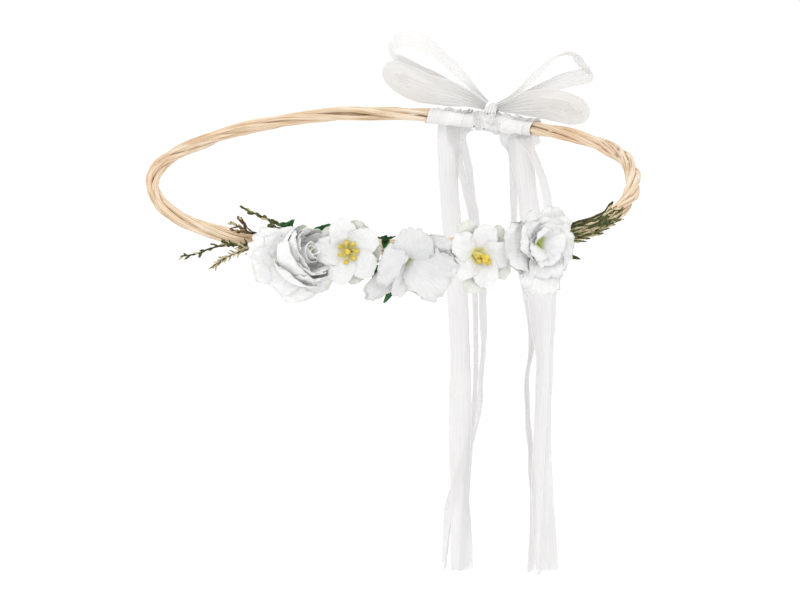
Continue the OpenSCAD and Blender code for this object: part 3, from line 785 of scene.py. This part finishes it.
def petal(shell, seat, azimuth, length, width, slopes, foot=(1.0, 0.0), tip=(0.55, 2.2),
          cup=0.0, roll=0.0, ruffle=0.3, wrap=0.0, seed=0, crease=0.0, shift=(0.0, 0.0, 0.0),
          thick=PETAL_T, kind=0):
    """A petal or leaf. It starts at foot (distance from the axis, height), and its midline
    has the given slopes at its base, middle and tip. cup raises its sides, roll tips it
    sideways, wrap bends it round the flower's axis, crease folds it along its midline and
    shift moves it."""
    n, m = 26, 21
    u, v = np.linspace(-1, 1, m)[None, :], np.linspace(0, 1, n)[:, None]
    low, power = tip
    g = low + (1 - low) * (1 - np.abs(u) ** power) ** (1 / power)
    s = length * v * g
    x = width / 2 * (0.3 + 0.7 * sin(90 * np.minimum(v / 0.62, 1))) * u
    edge = np.maximum(np.abs(u), v) * np.ones_like(x)
    where = np.stack([x, s, np.full_like(x, seed * 5.0)], axis=2)
    x = x + 0.03 * width * edge ** 6 * Ripple(seed + 3, 2.6)(where) * np.sign(u)
    s = s + 0.03 * length * (v ** 6) * Ripple(seed + 4, 2.2)(where)
    t = np.linspace(0, 1, 60)
    slope = np.interp(t, [0, 0.5, 1], slopes)
    slope = np.convolve(np.pad(slope, 6, mode="edge"), np.ones(13) / 13, mode="valid")
    r_line = foot[0] + np.concatenate([[0], np.cumsum(cos(slope[:-1]))]) * length / 59
    z_line = foot[1] + np.concatenate([[0], np.cumsum(sin(slope[:-1]))]) * length / 59
    share = s / length
    r, z, th = (np.interp(share, t, line) for line in (r_line, z_line, slope))
    lift = cup * u ** 2 * sin(160 * np.clip(v, 0, 1)) + roll * x + crease * (1 - np.abs(u)) ** 2
    wave = Ripple(seed, 0.62 * width)(where) + 0.45 * Ripple(seed + 1, 2.4)(where)
    lift = lift + ruffle * edge ** 3 * wave
    lift = lift + 0.09 * Ripple(seed + 2, 3.2)(where)
    out, up = r - lift * sin(th), z + lift * cos(th)
    if wrap:
        bend = np.maximum(out, 1.0) / wrap
        out, x = out - bend * (1 - np.cos(x / bend)), bend * np.sin(x / bend)
    local = np.stack([out * cos(azimuth) - x * sin(azimuth),
                      out * sin(azimuth) + x * cos(azimuth), up], axis=2) + shift
    shell.sheet(seat.place(local), thick, u=np.linspace(0, 1, m), kind=kind)


def whorl(flower, ring, seat, material, petals, **shared):
    """Petals of one ring, as one piece. Each is (azimuth, length, width) and, where it has
    them, its own settings."""
    name = f"{flower}_{ring}_ring"
    node = name.replace("front_", "").replace("ring", "petals")
    shell = Shell()
    for number, (azimuth, length, width, *own) in enumerate(petals):
        settings = {**shared, **(own[0] if own else {})}
        petal(shell, seat, azimuth, length, width, seed=100 + 17 * number + len(name) * 3, **settings)
    shell.piece(name, "petal_paper", [material], [node])


def blossom(side, start, back_start, size, back):
    """A five-petalled blossom with a second ring showing between its petals."""
    seat = Seat(*SEATS[f"{side}_blossom"])
    whorl(f"{side}_blossom", "front", seat, BLOSSOM_PAPER,
          [(start + 360 * k / 5, size, 0.84 * size) for k in range(5)],
          slopes=(44, 14, -18), foot=(0.9, 1.0), cup=0.8, roll=0.05, ruffle=0.2, tip=(0.5, 2.1))
    # The back ring takes the darker paper, which is painted shade.
    whorl(f"{side}_blossom", "back", seat, BACK_PAPER_PAINTED_SHADE,
          [(back_start + 360 * k / 5, back, 0.75 * size) for k in range(5)],
          slopes=(30, 12, -4), foot=(0.9, 0.0), cup=0.5, roll=0.1, ruffle=0.3, tip=(0.6, 2.2))
    return seat


def rose():
    """A rose still half closed, its opening turned up and to the right."""
    face = Seat(*SEATS["rose"])
    whorl("rose", "outer", face, ROSE_PAPER, [
        (148, 14.4, 13, {"roll": 0.05}), (104, 10.8, 13, {"roll": 0.08}),
        (-25, 15.4, 12, {"roll": -0.06}), (-68, 13.6, 15, {"roll": 0.06}),
        (-126, 10.4, 15, {"slopes": (40, 20, -10)}), (55, 10.5, 11, {"slopes": (40, 30, 16)}),
        (188, 12.6, 13, {"slopes": (30, 22, -2)})],
        slopes=(26, 12, -12), foot=(1.0, 0.0), cup=0.6, ruffle=0.4, tip=(0.6, 2.6))
    heart = Seat(-111, 12.4, -2.9, 30, 74)
    whorl("rose", "middle", heart, ROSE_PAPER, [
        (-165, 17.2, 20, {"slopes": (4, 62, 94)}), (-96, 16.8, 18, {"slopes": (4, 62, 96)}),
        (104, 15.4, 17), (-20, 13.2, 14), (48, 13.2, 13, {"foot": (0.8, 1.6)}),
        (-130, 15.6, 17, {"slopes": (-4, 50, 82), "foot": (1.2, 0.9)})],
        slopes=(4, 62, 80), foot=(1.0, 1.2), cup=0.0, ruffle=0.22, wrap=0.9, tip=(0.84, 3.2),
        roll=0.03)
    whorl("rose", "inner", heart, ROSE_PAPER, [
        (-80, 15.6, 11), (10, 15.2, 10), (100, 15.2, 11), (190, 15.8, 11),
        (-30, 14.4, 8, {"foot": (0.4, 2.4)}), (140, 14.6, 8, {"foot": (0.4, 2.4)}),
        (-125, 16.4, 14, {"slopes": (10, 70, 86)}), (-35, 15.8, 12, {"slopes": (10, 70, 86)}),
        (55, 15.8, 12, {"slopes": (10, 70, 86)}), (145, 16.2, 13, {"slopes": (10, 70, 86)})],
        slopes=(16, 82, 74), foot=(0.9, 2.0), cup=0.0, ruffle=0.35, wrap=0.95, tip=(0.75, 2.8),
        roll=0.1)
    rolled_heart(heart)


def rolled_heart(seat):
    """The rose's middle: one strip of petal paper rolled up, with an uneven rim."""
    n, m = 150, 13
    t = np.linspace(0, 1, n)[:, None]
    v = np.linspace(0, 1, m)[None, :]
    turn = 1000 * t
    rim = 15.0 + 0.7 * np.sin(turn / 41) - 1.4 * t
    r = (0.5 + 2.6 * t) * (0.75 + 0.25 * v + 0.22 * v ** 4) + 0.12 * np.sin(turn / 23 + 6 * v)
    up = 3.4 + (rim - 3.4) * v
    rows = seat.place(np.stack([r * cos(turn), r * sin(turn), up], axis=2))
    shell = Shell()
    shell.sheet(rows, PETAL_T, u=np.linspace(0, 1, m) * 0.1 + 0.45)
    shell.piece("rose_rolled_heart", "petal_paper", [ROSE_PAPER], ["rose_core"])


def lily():
    seat = Seat(*SEATS["lily"])
    whorl("lily", "outer", seat, LILY_PAPER, [
        (-37, 17.6, 16.5, {"slopes": (40, 14, -14), "ruffle": 0.5, "roll": -0.06,
                           "shift": (-1.0, 1.4, 1.2), "cup": 0.7, "tip": (0.72, 3.0)}),
        (11, 15.2, 14.5, {"slopes": (40, 18, -4), "ruffle": 0.9, "roll": 0.1, "tip": (0.6, 2.6)}),
        (-140, 19.0, 8.5, {"slopes": (12, 2, -16), "ruffle": 0.7, "cup": 1.4})],
        foot=(0.8, 0.0), tip=(0.45, 1.9), cup=1.0, crease=-0.3)
    whorl("lily", "inner", seat, LILY_PAPER, [
        (76, 13.6, 13.5, {"slopes": (50, 20, -10), "shift": (-0.4, -1.2, 0.3)}),
        (-115, 16.4, 8.4, {"slopes": (26, 0, -22), "shift": (-2.8, 7.0, 3.4), "cup": -0.9,
                           "tip": (0.4, 2.0)}),
        (-112, 12.8, 6.4, {"slopes": (40, 18, -8), "cup": 0.6, "roll": -0.2})],
        foot=(0.8, 1.0), tip=(0.5, 2.0), cup=0.9, ruffle=0.35, crease=-0.3)


def peony():
    seat = Seat(*SEATS["peony"])
    whorl("peony", "outer", seat, PEONY_PAPER, [
        (52, 14.0, 13, {"ruffle": 1.0}), (-12, 12.0, 12), (-58, 13.2, 8, {"slopes": (26, 6, -20)}),
        (-106, 16.0, 15.5, {"slopes": (34, 10, -16)}), (170, 15.0, 16, {"slopes": (30, 8, -4)}),
        (121, 18.0, 7, {"slopes": (38, 24, 30), "cup": 1.2, "tip": (0.4, 1.8)}),
        (-148, 12.4, 11.5, {"slopes": (26, 8, -10)})],
        slopes=(34, 14, -8), foot=(1.0, 0.0), cup=0.6, ruffle=0.7, tip=(0.62, 2.6), roll=0.07)
    whorl("peony", "middle", seat, PEONY_PAPER, [
        (148, 13.4, 12.5, {"slopes": (46, 30, 2), "crease": -0.9}), (84, 10.8, 12),
        (24, 11.2, 12), (-34, 11.4, 12), (-98, 11.2, 13, {"slopes": (50, 26, -8)})],
        slopes=(48, 34, 0), foot=(0.9, 1.0), cup=0.6, ruffle=0.8, wrap=0.2, tip=(0.66, 2.6),
        roll=0.12)
    whorl("peony", "inner", seat.moved(-1.6, 1.8, 0.3), PEONY_PAPER, [
        (-86, 9.6, 10.5, {"slopes": (64, 40, 8), "crease": -1.1}),
        (-20, 9.2, 10, {"slopes": (66, 46, 10), "crease": 1.0}),
        (48, 9.0, 9, {"slopes": (68, 54, 14), "crease": -0.8}),
        (102, 8.0, 6.5), (-142, 8.8, 8, {"slopes": (60, 46, 6)})],
        slopes=(66, 62, 30), foot=(0.7, 1.8), ruffle=0.6, wrap=0.2, tip=(0.66, 2.4), roll=0.12)


def stamens(side, seat, count, spread, length, lean, bent, uneven, foot=(0.0, 0.0)):
    """Threads with pollen tips round a bead, leaning together by lean towards azimuth bent."""
    shell = Shell()
    start = np.array([*foot, 1.4])
    tilt_to = np.array([cos(bent), sin(bent), 0.0])
    rng = random.Random(side)
    for k in range(count + 1):
        a = 360 * k / count + rng.uniform(-9, 9)
        away = spread * rng.uniform(0.85, 1.15) if k < count else 0
        reach = length * (rng.uniform(uneven, 1.1) if k < count else 0.95)
        way = cos(away) * UP + sin(away) * np.array([cos(a), sin(a), 0])
        way = unit(way + math.tan(math.radians(lean)) * tilt_to)
        bow = 0.35 * np.array([cos(a + 50), sin(a + 50), 0])
        line = np.array([start + way * reach * f + bow * math.sin(math.pi * f)
                         for f in np.linspace(0, 1, 9)])
        shell.tube(seat.place(line), 0.2, 6, kind=1)
        size = 1.5 if k < count else 2.0
        shell.bead(seat.place(line[-1]), seat.place(line[-1]) - seat.place(line[-2]), size * 1.25, size,
                   seed=300 + k, lump=0.12, kind=0, rings=12, sides=14)
    shell.piece(f"{side}_blossom_threads", "stamen", [POLLEN, THREAD], [f"{side}_blossom_stamens"])


def calyx(name, seat):
    """The green foot of a flower: a taped cone and five short sepals."""
    shell = Shell()
    along_axis = np.array([[0, 0, z] for z in (-4.6, -4.2, -3.4, -2.4, -1.4, -0.6, -0.15)])
    lumps = 1 + 0.05 * Ripple(len(name), 1.4)(np.random.default_rng(7).normal(size=(7, 16, 3)))
    radii = np.array([0.7, 1.0, 1.25, 1.6, 2.0, 2.35, 2.2])[:, None] * lumps
    shell.tube(seat.place(along_axis), radii, 16, side=seat.x, v=along_axis[:, 2] * 1.5)
    for k in range(5):
        petal(shell, seat, 72 * k + 20, 5.2, 2.6, (28, 12, -6), foot=(1.5, -1.7), tip=(0.3, 1.3),
              cup=0.3, ruffle=0.12, seed=400 + k, thick=0.25, kind=1)
    shell.piece(f"{name}_calyx", "stem_tape", [TAPE, LEAF], [f"{name}_base"])


def stem(name, seat, tip):
    """The wire from the flower back to the hoop and two turns round it, wrapped in tape."""
    angle = SEATS[name][0]
    heel = seat.origin - (BASE_L + 0.4) * seat.z
    off = heel - hoop_point(angle)
    start = math.degrees(math.atan2(off[2], off @ radial(angle)))
    line = [seat.origin + tip * seat.z, seat.origin, seat.origin - 2 * seat.z, heel]
    for i in range(0, 73):
        turn = start + 30 + i * 10
        over = math.sqrt(0.5 + 0.5 * cos(turn - 20))
        r = (1 - over) * (bundle_hull(angle, turn) + 0.45) + over * WIRE_AT
        shift = 1.1 * (i * 10 / 360 + 0.14)
        line.append(hoop_point(angle) + shift * along(angle)
                    + r * (cos(turn) * radial(angle) + sin(turn) * UP))
    path = spline(line, 240)
    shell = Shell()
    shell.tube(path, STEM_R * (1 + 0.06 * Ripple(500 + len(name), 2.0)(path)), 8)
    shell.piece(f"{name}_taped_wire", "stem_tape", [TAPE], [f"{name}_stem"])


# ---- Leaves and sprigs ----

def leaf(name, node, place, blades, held_at, turn, material):
    """One leaf, or a few from one foot, with a stalk from the hoop at the angle held_at.
    Each of blades is (direction, length, width, slopes)."""
    seat = Seat(*place)
    shell = Shell()
    for number, (azimuth, length, width, slopes) in enumerate(blades):
        petal(shell, seat, azimuth, length, width, slopes, foot=(0.2, 0.1), tip=(0.2, 1.25), cup=0.5,
              ruffle=0.3, crease=-0.5, seed=600 + 7 * number + len(name), thick=0.22)
    start = round_hoop(held_at, LEAF_AT, turn)
    middle = (start + seat.origin) / 2 + 0.6 * radial(held_at)
    shell.tube(spline([start, middle, seat.origin, seat.place(np.array([0.0, 0.0, 0.4]))], 14),
               np.linspace(0.3, 0.22, 14), 7, kind=1)
    shell.piece(name, "leaf", [material, DARK_STALK], [node] if node else [])


def needles(shell, path, share, count, lean, size, seed, pale, tips=False):
    """Buds or needles along the outer share of a stalk, each leaning forwards from it. Every
    so many are pale ones; with tips, the others end in a pale bead too."""
    rng = random.Random(seed)
    run = tangents(path)
    sides = carried(path)
    for k in range(count):
        f = (1 - share) + share * (k + 0.5) / count
        i = min(int(f * (len(path) - 1)), len(path) - 2)
        turn = 137.5 * k + rng.uniform(-20, 20)
        side = cos(turn) * sides[i] + sin(turn) * np.cross(run[i], sides[i])
        tilt = lean * rng.uniform(0.6, 1.3)
        way = cos(tilt) * run[i] + sin(tilt) * side
        long = size[0] * rng.uniform(0.7, 1.2) * (1.15 - 0.4 * (k / count))
        wide = size[1] * rng.uniform(0.8, 1.2)
        centre = path[i] + way * (long / 2 + 0.1)
        kind = 2 if k % pale == 1 else 1
        shell.bead(centre, way, long, wide, seed=seed + k, lump=0.22, kind=kind, rings=9, sides=7)
        if tips and kind == 1:
            shell.bead(path[i] + way * (long + 0.2), way, 0.4 * long, wide * 0.8, seed=seed + k + 50,
                       lump=0.25, kind=2, rings=7, sides=7)


def sprig(name, node, slot, root, stalks, bark):
    """A dried sprig with buds of the given material, tied to the hoop between the two root
    angles. Each stalk is (turn, free places, its thickness at both ends, its buds)."""
    shell = Shell()
    for number, (turn, places, thick, buds) in enumerate(stalks):
        held = [round_hoop(a, STALK_AT, turn) for a in (root[0], (root[0] + root[1]) / 2, root[1])]
        path = spline(held + [hoop_place(*p) for p in places], 90)
        path = path + 0.12 * np.stack([Ripple(700 + number + k, 7)(path) for k in range(3)], axis=1)
        radii = np.linspace(*thick, 90) * (1 + 0.16 * Ripple(710 + number, 1.5)(path))
        shell.tube(path, radii, 7)
        share, count, lean, size, pale, tips = buds
        needles(shell, path, share, count, lean, size, 800 + 40 * number + len(name), pale, tips)
    shell.piece(name, slot, [DARK_STALK, bark, CREAM_TIP], [node])


def greens():
    sprig("left_upper_twig", "upper_left_sprig", "green_sprig", (-96, -101), [
        (62, [(-106.2, 4.6, 3.4), (-109.3, 6.2, 6), (-114.4, 6.8, 9.6), (-121.7, 6.4, 13.4)],
         (0.62, 0.3), (0.24, 16, 16, (2.5, 0.9), 6, False)),
        (62, [(-106.2, 4.6, 3.4), (-109.3, 6.2, 6), (-113, 7.6, 8.0), (-115.2, 8.4, 8.6)],
         (0.62, 0.24), (0.1, 5, 20, (2.4, 0.9), 9, False))], DRY_GREEN)
    sprig("left_lower_twig", "lower_left_sprig", "green_sprig", (-107, -114.5), [
        (0, [(-122, 6, 0.2), (-128.9, 8.6, -2.4), (-132, 9.6, -5.4), (-136, 11, -7.6)],
         (0.5, 0.26), (0.4, 10, 30, (2.8, 0.8), 4, False)),
        (4, [(-119, 6.6, 0.2), (-123, 7.6, 0.2), (-126, 8.4, 0.2)],
         (0.4, 0.2), (0.46, 30, 42, (2.5, 0.75), 3, False))], DRY_GREEN)
    sprig("left_grey_twig", "grey_sprig", "grey_sprig", (-107, -114.5), [
        (-35, [(-119.5, 7.6, -0.2), (-123.5, 8.6, -3), (-127.8, 9.6, -8.2)],
         (0.4, 0.24), (0.6, 54, 34, (3.1, 0.6), 2, True))], DRY_GREY)
    sprig("left_brown_twig", "brown_sprig", "brown_sprig", (-107, -114), [
        (50, [(-119.5, 4.6, 4.4), (-121.6, 4.8, 6), (-123.2, 5, 8.6)],
         (0.4, 0.2), (0.22, 7, 18, (2.6, 0.8), 4, False)),
        (46, [(-119.5, 4.6, 4.2), (-122.2, 5.2, 5.4), (-124.8, 6, 7.2)],
         (0.4, 0.2), (0.26, 8, 24, (2.4, 0.75), 2, False)),
        (42, [(-119.5, 4.8, 4.0), (-122.0, 5.6, 4.4), (-124.2, 6.6, 4.6)],
         (0.4, 0.2), (0.3, 9, 24, (2.4, 0.75), 2, False))], DRY_BROWN)
    sprig("right_heather", "right_sprig", "green_sprig", (-64.5, -57), [
        (0, [(-51, 6.6, 0.0), (-44, 6.9, 0.8), (-37.5, 6.2, 1.6)], (0.5, 0.2),
         (0.62, 44, 11, (7.0, 0.75), 2, False)),
        (24, [(-51, 6.2, 2.0), (-44, 6.8, 2.8), (-36.5, 6.2, 3.4)], (0.5, 0.2),
         (0.62, 44, 11, (7.0, 0.75), 3, False)),
        (48, [(-51, 5.2, 4.2), (-44, 6, 4.8), (-37.5, 5.6, 5.4)], (0.5, 0.2),
         (0.62, 40, 11, (6.6, 0.75), 4, False))], DRY_GREEN)
    sprig("right_bare_twig", "right_twig", "brown_sprig", (-64.5, -57), [
        (72, [(-51.6, 7, 5.8), (-46, 7.4, 6.4), (-42.8, 7.4, 7.2), (-40.4, 7.4, 9.0)],
         (0.5, 0.32), (0.12, 5, 12, (2.4, 0.8), 9, False))], DARK_STALK)
    leaf("left_green_leaf", "left_leaf", (-106.4, 7.4, 5.0, 30, 10), [
        (40, 8.0, 4.8, (20, 10, -6)), (150, 5.6, 4.0, (16, 6, -10)), (-64, 6.0, 3.4, (16, 6, -10))],
        -106.4, 40, LEAF)
    leaf("left_twig_leaf", None, (-111.6, 7.0, 8.2, 20, 4), [
        (60, 3.4, 2.8, (20, 10, -6)), (150, 3.2, 2.6, (16, 6, -10)), (-80, 4.2, 3.0, (16, 6, -10))],
        -108.6, 60, LEAF)
    leaf("middle_green_bud", "middle_bud", (-91.5, 7, 4.5, 60, 0), [
        (160, 3.0, 2.6, (30, 10, 0)), (20, 3.4, 1.5, (30, 20, 10)), (-100, 3.4, 2.8, (10, 0, -10))],
        -91.5, 60, LEAF)
    leaf("middle_green_leaf", "middle_leaf", (-93.8, 6.5, -4, 10, 0), [
        (-90, 6, 4, (16, 6, -10))], -93.8, -40, LEAF)
    leaf("bottom_green_leaf", "bottom_leaf", (-88.2, 5.5, -7, 0, 0), [
        (-120, 13, 4.0, (14, 4, -8))], -88.2, -70, LEAF)
    leaf("right_dark_leaf", "right_leaf", (-52.5, 5.5, -6, 20, 0), [
        (-22, 6.6, 1.5, (14, 4, -8))], -52.5, -60, DRY_GREEN)


# ---- The whole crown ----

def crown():
    for number in range(4):
        natural_cane(number)
    binding("wound_left", "left_binding", (65.2, 82.8), 3.4, 240)
    binding("wound_right", "right_binding", (51.5, 63.4), 2.6, 60)
    knot()
    bow_cross_turn()
    for number, name in enumerate(BOW_LOOPS):
        bow_loop(name, number)
    for number, name in enumerate(TAILS):
        tail(name, number)
    rose()
    left = blossom("left", 34, -2, 11.4, 10.6)
    lily()
    right = blossom("right", -4, 40, 10.9, 12.4)
    peony()
    stamens("left", left, 7, 50, 3.9, 0, 0, 0.9)
    stamens("right", right, 10, 26, 6.4, 48, -46, 0.45, foot=(-1.6, 1.4))
    for name, tip in zip(SEATS, (2.4, 1.5, 1.5, 1.5, 2.4)):
        calyx(name, Seat(*SEATS[name]))
        stem(name, Seat(*SEATS[name]), tip)
    greens()


# ---- Studio ----

def studio():
    """A pale floor below the crown, even light all round, and three soft lights."""
    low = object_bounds()[0][2]
    mesh = bpy.data.meshes.new("floor")
    size, drop = 6.0, 0.05
    corners = [(-size, -size), (size, -size), (size, size), (-size, size)]
    mesh.from_pydata([(x, y, low - drop) for x, y in corners], [], [(0, 1, 2, 3)])
    mesh.materials.append(floor_material())
    floor = bpy.data.objects.new("floor", mesh)
    bpy.context.scene.collection.objects.link(floor)
    floor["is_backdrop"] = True
    world = bpy.data.worlds.new("studio")
    bpy.context.scene.world = world
    world.use_nodes = True
    background = world.node_tree.nodes["Background"].inputs
    background[0].default_value = (1.0, 1.0, 1.0, 1.0)
    background[1].default_value = 1.0
    for name, place, aim, size, power in (
            ("key", (-0.7, -0.9, 1.3), (0, -0.02, 0.0), 0.7, 6.0),
            ("fill", (1.2, -0.7, 0.5), (0, 0, -0.02), 1.0, 2.6),
            ("top", (0.1, 0.5, 1.4), (0, 0, 0.0), 0.8, 2.6)):
        softbox(name, place, aim, size, power)
    bpy.context.scene.view_settings.view_transform = "Standard"


def softbox(name, place, aim, size, power):
    """A square area light at place that points at aim."""
    light = bpy.data.lights.new(name, "AREA")
    light.size = size
    light.energy = power
    lamp = bpy.data.objects.new(name, light)
    way = np.array(aim, float) - np.array(place, float)
    lamp.location = place
    lamp.rotation_euler = (math.acos(-way[2] / np.linalg.norm(way)), 0.0,
                           math.atan2(way[1], way[0]) - math.pi / 2)
    bpy.context.scene.collection.objects.link(lamp)


def camera():
    """The front view: a little under a metre away, looking down on the front of the hoop."""
    focal_length, sensor_width = 115.24, 36.0
    looks_down, turned = 18.81, -0.146
    lens = bpy.data.cameras.new("camera")
    lens.lens = focal_length
    lens.sensor_width = sensor_width
    eye = bpy.data.objects.new("camera", lens)
    eye.location = (0.0, -0.913, 0.2625)
    eye.rotation_euler = (math.radians(90 - looks_down), 0.0, math.radians(turned))
    bpy.context.scene.collection.objects.link(eye)
    bpy.context.scene.camera = eye


camera()
crown()
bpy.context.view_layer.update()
studio()
